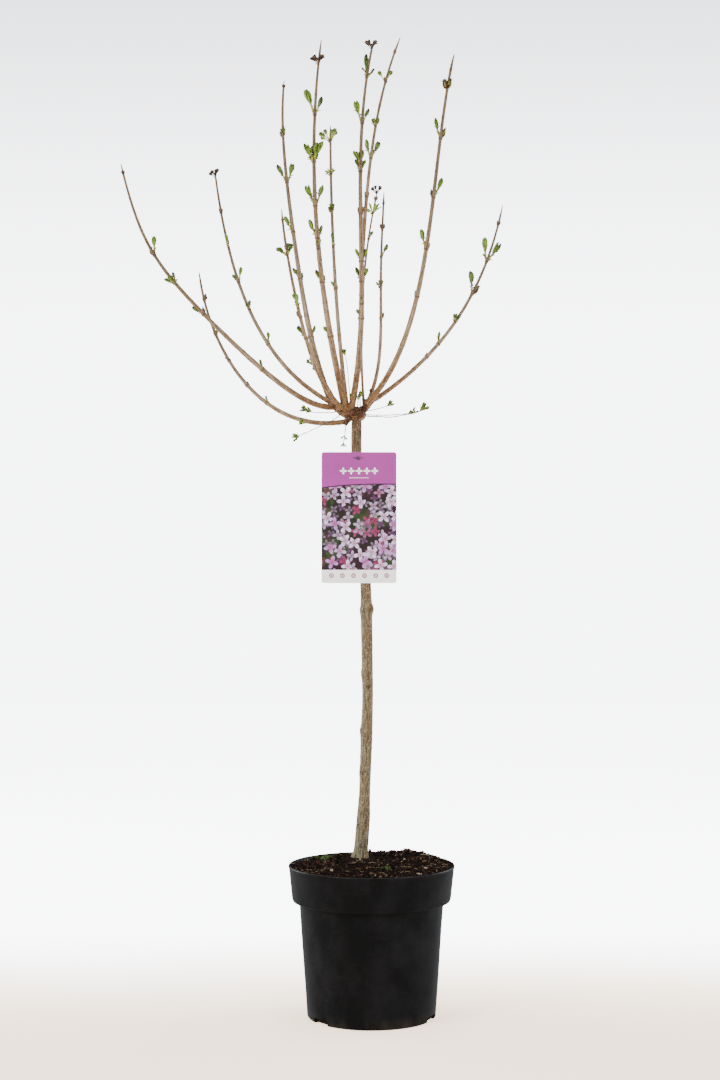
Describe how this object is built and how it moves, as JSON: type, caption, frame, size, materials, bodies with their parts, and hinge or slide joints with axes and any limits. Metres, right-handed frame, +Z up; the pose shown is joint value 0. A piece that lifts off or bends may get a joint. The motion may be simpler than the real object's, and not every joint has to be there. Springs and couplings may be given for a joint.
{
  "type": "grafted lilac standard in a nursery pot",
  "caption": "Young grafted standard lilac in early spring: bare stem, fan of nearly bare limbs with opening leaf buds, hanging tag, in a round black nursery pot of soil.",
  "frame": {"origin": "middle of the pot's flat underside", "axes": "+Z up along the pot's axis and the stem, -Y towards the front, where the tag hangs, +X to the right seen from the front"},
  "size_m": [0.4989, 0.392, 1.2833],
  "materials": {
    "bark": "matt olive-brown bark with pale streaks",
    "young_bark": "smooth tan bark with small pale lenticels",
    "leafy_shoot": "thin brown twigs with bright green opening leaf buds",
    "black_plastic": "black polypropylene with a soft sheen and faint scuffs",
    "peat": "dark crumbly peat with bark bits and fibres",
    "printed_card": "thin printed plastic card with a satin face",
    "dark_band": "dark flexible plastic band"
  },
  "bodies": {
    "root": {"bough_back_left": "young_bark", "bough_back_right": "young_bark", "bough_back_wisp": "young_bark", "bough_far_left": "young_bark", "bough_far_right": "young_bark", "bough_front_left": "young_bark", "bough_inner_left": "young_bark", "bough_low_left": "young_bark", "bough_mid_left": "young_bark", "bough_right": "young_bark", "bough_tall_left": "young_bark", "bough_tall_mid": "young_bark", "graft_head": "young_bark", "pot": "black_plastic", "shoot_back_left": "leafy_shoot", "shoot_back_right": "leafy_shoot", "shoot_back_wisp": "leafy_shoot", "shoot_far_left": "leafy_shoot", "shoot_far_right": "leafy_shoot", "shoot_front_left": "leafy_shoot", "shoot_inner_left": "leafy_shoot", "shoot_low_left": "leafy_shoot", "shoot_mid_fork": "leafy_shoot", "shoot_mid_left": "leafy_shoot", "shoot_right": "leafy_shoot", "shoot_tall_left": "leafy_shoot", "shoot_tall_mid": "leafy_shoot", "soil": "peat", "tag": "printed_card", "tag_band": "dark_band", "trunk": "bark", "wisp_back": "leafy_shoot", "wisp_front": "leafy_shoot", "wisp_hanging": "leafy_shoot", "wisp_inner": "leafy_shoot", "wisp_left": "leafy_shoot", "wisp_low": "leafy_shoot", "wisp_right": "leafy_shoot", "wisp_tall": "leafy_shoot", "wisp_under": "leafy_shoot", "wisp_upright": "leafy_shoot"}
  },
  "joints": []
}
